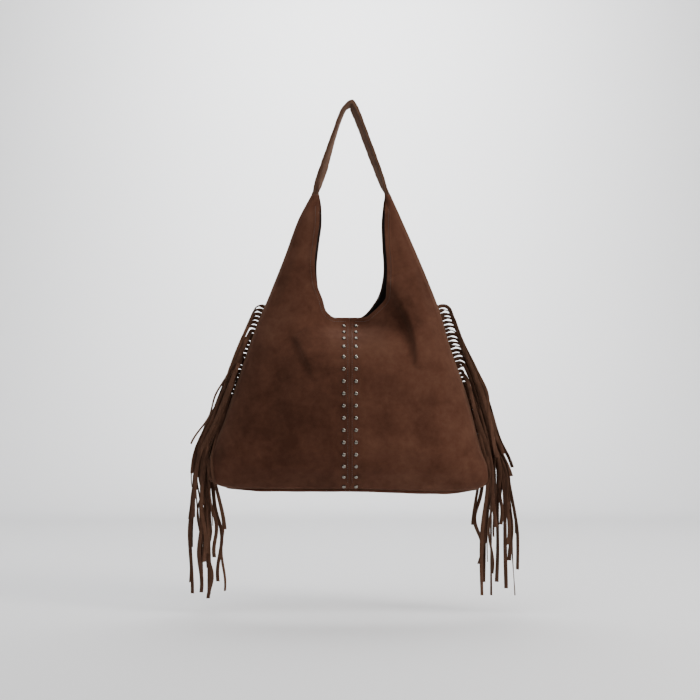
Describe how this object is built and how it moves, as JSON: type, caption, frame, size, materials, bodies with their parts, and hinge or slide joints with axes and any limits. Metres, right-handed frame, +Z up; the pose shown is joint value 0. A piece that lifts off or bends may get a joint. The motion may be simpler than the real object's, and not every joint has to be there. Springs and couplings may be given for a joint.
{
  "type": "fringed suede bag",
  "caption": "Slouchy suede shoulder bag with one strap, long laced fringe down both side seams and rows of domed studs beside the front centre seam.",
  "frame": {"origin": "underside of the strap's crown, where a hook or a shoulder carries the bag", "axes": "+Z up along the hanging bag, -Y out of the studded front, +X to the right of someone who looks at the front"},
  "size_m": [0.5291, 0.1457, 0.8002],
  "materials": {
    "suede": "dark brown napped suede",
    "lace_suede": "dark brown suede, knife-cut laces",
    "lining": "near-black brown plain weave",
    "board": "grey fibreboard",
    "nickel": "polished nickel"
  },
  "bodies": {
    "root": {"front_left_panel": "suede", "front_right_panel": "suede", "back_panel": "suede", "base_panel": "suede", "base_board": "board", "lining": "lining", "left_fringe": "lace_suede", "right_fringe": "lace_suede", "strap": "suede", "snap_front": "nickel", "snap_back": "nickel", "stud_left_01": "nickel", "stud_left_02": "nickel", "stud_left_03": "nickel", "stud_left_04": "nickel", "stud_left_05": "nickel", "stud_left_06": "nickel", "stud_left_07": "nickel", "stud_left_08": "nickel", "stud_left_09": "nickel", "stud_left_10": "nickel", "stud_left_11": "nickel", "stud_left_12": "nickel", "stud_left_13": "nickel", "stud_left_14": "nickel", "stud_left_15": "nickel", "stud_left_16": "nickel", "stud_right_01": "nickel", "stud_right_02": "nickel", "stud_right_03": "nickel", "stud_right_04": "nickel", "stud_right_05": "nickel", "stud_right_06": "nickel", "stud_right_07": "nickel", "stud_right_08": "nickel", "stud_right_09": "nickel", "stud_right_10": "nickel", "stud_right_11": "nickel", "stud_right_12": "nickel", "stud_right_13": "nickel", "stud_right_14": "nickel", "stud_right_15": "nickel", "stud_right_16": "nickel"}
  },
  "joints": []
}
